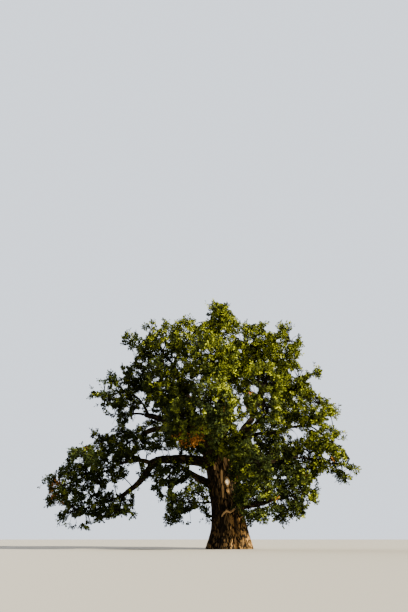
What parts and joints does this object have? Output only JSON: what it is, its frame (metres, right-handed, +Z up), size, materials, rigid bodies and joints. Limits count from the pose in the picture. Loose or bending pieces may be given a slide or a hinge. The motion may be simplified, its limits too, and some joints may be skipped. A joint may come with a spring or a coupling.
{
  "type": "oak tree",
  "caption": "Old field oak in full leaf: stout fluted trunk, broad lopsided crown of leafy masses on crooked boughs, and a low bough that arches out to one side and droops",
  "frame": {"origin": "Middle of the flat cut under the trunk, at ground level", "axes": "+Z up, +X to the right of the tree as it is seen from the front, -Y towards the front, where the picture was taken"},
  "size_m": [20.0338, 14.9956, 16.2026],
  "materials": {
    "bark": "rough, deeply fissured grey-brown bark with a pale bare-wood scar",
    "bough_bark": "rough dark brown bark",
    "leaves": "soft green and olive oak leaves, a few turning brown"
  },
  "bodies": {
    "root": {"trunk": "bark", "bough_leader_mid": "bough_bark", "bough_leader_left": "bough_bark", "bough_leader_right": "bough_bark", "bough_left_high": "bough_bark", "bough_left_fork": "bough_bark", "bough_left_mid": "bough_bark", "bough_arch": "bough_bark", "bough_droop": "bough_bark", "bough_arch_out": "bough_bark", "bough_low_left": "bough_bark", "bough_right_low": "bough_bark", "bough_right_mid": "bough_bark", "bough_right_reach": "bough_bark", "bough_right_high": "bough_bark", "bough_front_left": "bough_bark", "bough_front_mid": "bough_bark", "bough_front_right": "bough_bark", "bough_front_up": "bough_bark", "bough_back_left": "bough_bark", "bough_back_mid": "bough_bark", "bough_back_right": "bough_bark", "foliage_top": "leaves", "foliage_top_left": "leaves", "foliage_shoulder_left": "leaves", "foliage_tuft_left": "leaves", "foliage_top_right": "leaves", "foliage_shoulder_right": "leaves", "foliage_left_upper": "leaves", "foliage_left_spur": "leaves", "foliage_left_mid": "leaves", "foliage_centre_left": "leaves", "foliage_right_upper": "leaves", "foliage_right_mid": "leaves", "foliage_right_outer": "leaves", "foliage_right_tip": "leaves", "foliage_right_out_low": "leaves", "foliage_right_low": "leaves", "foliage_right_bottom": "leaves", "foliage_over_arch": "leaves", "foliage_arch_crest": "leaves", "foliage_left_crest": "leaves", "foliage_left_inner": "leaves", "foliage_left_tip": "leaves", "foliage_left_low": "leaves", "foliage_left_droop": "leaves", "foliage_under_arch": "leaves", "foliage_under_low": "leaves", "foliage_front_high": "leaves", "foliage_front_left": "leaves", "foliage_front_mid": "leaves", "foliage_front_right": "leaves", "foliage_front_right_high": "leaves", "foliage_back_high": "leaves", "foliage_back_left": "leaves", "foliage_back_low": "leaves", "foliage_back_right": "leaves", "foliage_back_low_right": "leaves"}
  },
  "joints": []
}
